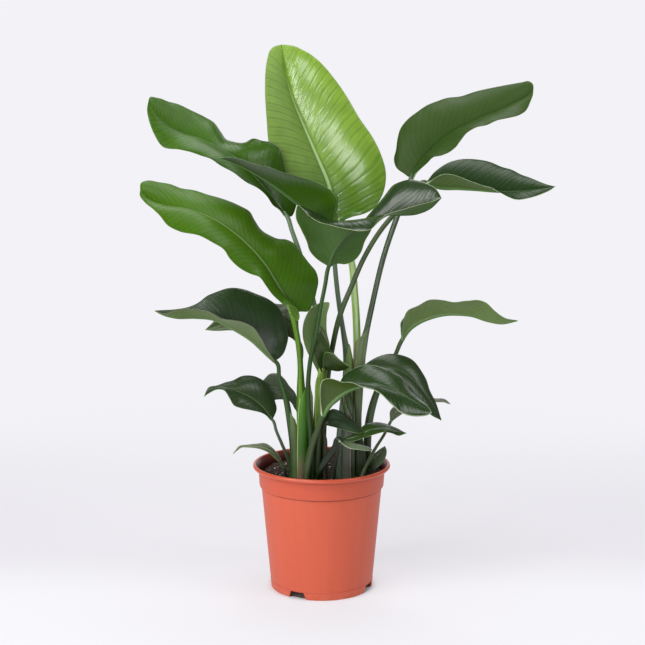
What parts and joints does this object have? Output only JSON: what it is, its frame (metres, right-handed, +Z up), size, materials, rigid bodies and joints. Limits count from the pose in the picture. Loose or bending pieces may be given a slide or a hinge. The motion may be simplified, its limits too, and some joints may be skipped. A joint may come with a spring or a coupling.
{
  "type": "potted bird of paradise plant",
  "caption": "Bird of paradise house plant in a tapered terracotta-coloured plastic nursery pot, with broad arching leaves on long stalks standing in the soil.",
  "frame": {"origin": "centre of the pot's flat underside, on the pot's axis", "axes": "+Z up along the pot's axis, +X to the plant's right and -Y towards the viewer as the plant is seen from its front"},
  "size_m": [0.6773, 0.305, 0.9518],
  "materials": {
    "pot": "satin moulded terracotta-coloured plastic",
    "soil": "dark moist potting mix of peat and bark with a few pale grains",
    "leaf_pale": "young bright yellow-green leaf, glossy, with close side veins and a pale rib",
    "leaf_green": "fresh mid-green leaf, satin, with close side veins",
    "leaf_dark": "mature dark green leaf, satin gloss above and paler olive beneath",
    "stalk": "grey-green fleshy stalk with fine lengthwise streaks",
    "stalk_young": "bright yellow-green young stalk with fine lengthwise streaks"
  },
  "bodies": {
    "root": {"pot": "pot", "soil": "soil", "crown_leaf": "leaf_pale", "crown_stalk": "stalk_young", "upper_left_leaf": "leaf_green", "upper_left_stalk": "stalk", "left_leaf": "leaf_green", "left_stalk": "stalk_young", "left_low_leaf": "leaf_dark", "left_low_stalk": "stalk", "left_back_leaf": "leaf_dark", "left_back_stalk": "stalk", "upper_right_leaf": "leaf_dark", "upper_right_stalk": "stalk", "right_leaf": "leaf_dark", "right_stalk": "stalk", "centre_leaf": "leaf_dark", "centre_stalk": "stalk", "inner_leaf": "leaf_dark", "inner_stalk": "stalk", "young_leaf": "leaf_pale", "young_stalk": "stalk_young", "young_front_leaf": "leaf_green", "young_front_stalk": "stalk", "low_right_leaf": "leaf_dark", "low_right_stalk": "stalk", "low_right_back_leaf": "leaf_dark", "low_right_back_stalk": "stalk", "far_right_leaf": "leaf_dark", "far_right_stalk": "stalk", "low_edge_leaf": "leaf_dark", "low_edge_stalk": "stalk", "low_mid_leaf": "leaf_dark", "low_mid_stalk": "stalk", "low_dark_leaf": "leaf_dark", "low_dark_stalk": "stalk", "front_small_leaf": "leaf_dark", "front_small_stalk": "stalk", "pot_right_leaf": "leaf_dark", "pot_right_stalk": "stalk", "droop_left_leaf": "leaf_dark", "droop_left_stalk": "stalk", "low_left_leaf": "leaf_dark", "low_left_stalk": "stalk", "low_left_back_leaf": "leaf_dark", "low_left_back_stalk": "stalk"}
  },
  "joints": []
}
